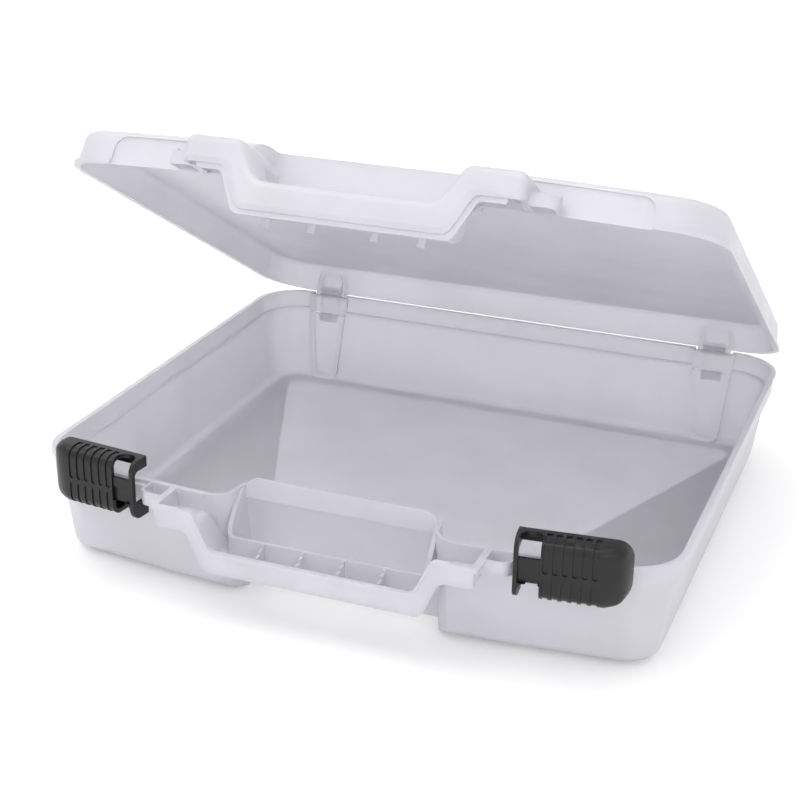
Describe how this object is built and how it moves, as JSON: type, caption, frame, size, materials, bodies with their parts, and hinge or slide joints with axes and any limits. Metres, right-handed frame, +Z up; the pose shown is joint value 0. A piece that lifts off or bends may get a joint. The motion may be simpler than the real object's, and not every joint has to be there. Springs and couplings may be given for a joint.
{
  "type": "storage case",
  "caption": "Shallow square carrying case of frosted plastic: deep tray, hinged lid, a carry handle moulded in halves into both, and sleeve latches sliding along the front.",
  "frame": {"origin": "middle of the foot's underside, on the plane that the case stands on", "axes": "+X to the right seen from the front, -Y to the front where the handle is, +Z up"},
  "size_m": [0.381, 0.368, 0.2592],
  "materials": {
    "tray_plastic": "frosted translucent polypropylene",
    "lid_plastic": "frosted translucent polypropylene",
    "latch_plastic": "satin black"
  },
  "bodies": {
    "tray": {"base_tray": "tray_plastic"},
    "lid": {"lid": "lid_plastic"},
    "latch_left": {"latch_left": "latch_plastic"},
    "latch_right": {"latch_right": "latch_plastic"}
  },
  "joints": [
    {"name": "lid_hinge", "type": "hinge", "parent": "tray", "child": "lid", "pos_m": [0, 0.16625, 0.0665], "axis": [-1, 0, 0], "range_deg": [-30, 85]},
    {"name": "latch_left_slide", "type": "slide", "parent": "tray", "child": "latch_left", "axis": [0.994, -0.1094, 0], "range_m": [0, 0.0135]},
    {"name": "latch_right_slide", "type": "slide", "parent": "tray", "child": "latch_right", "axis": [-0.994, -0.1094, 0], "range_m": [0, 0.0135]}
  ]
}
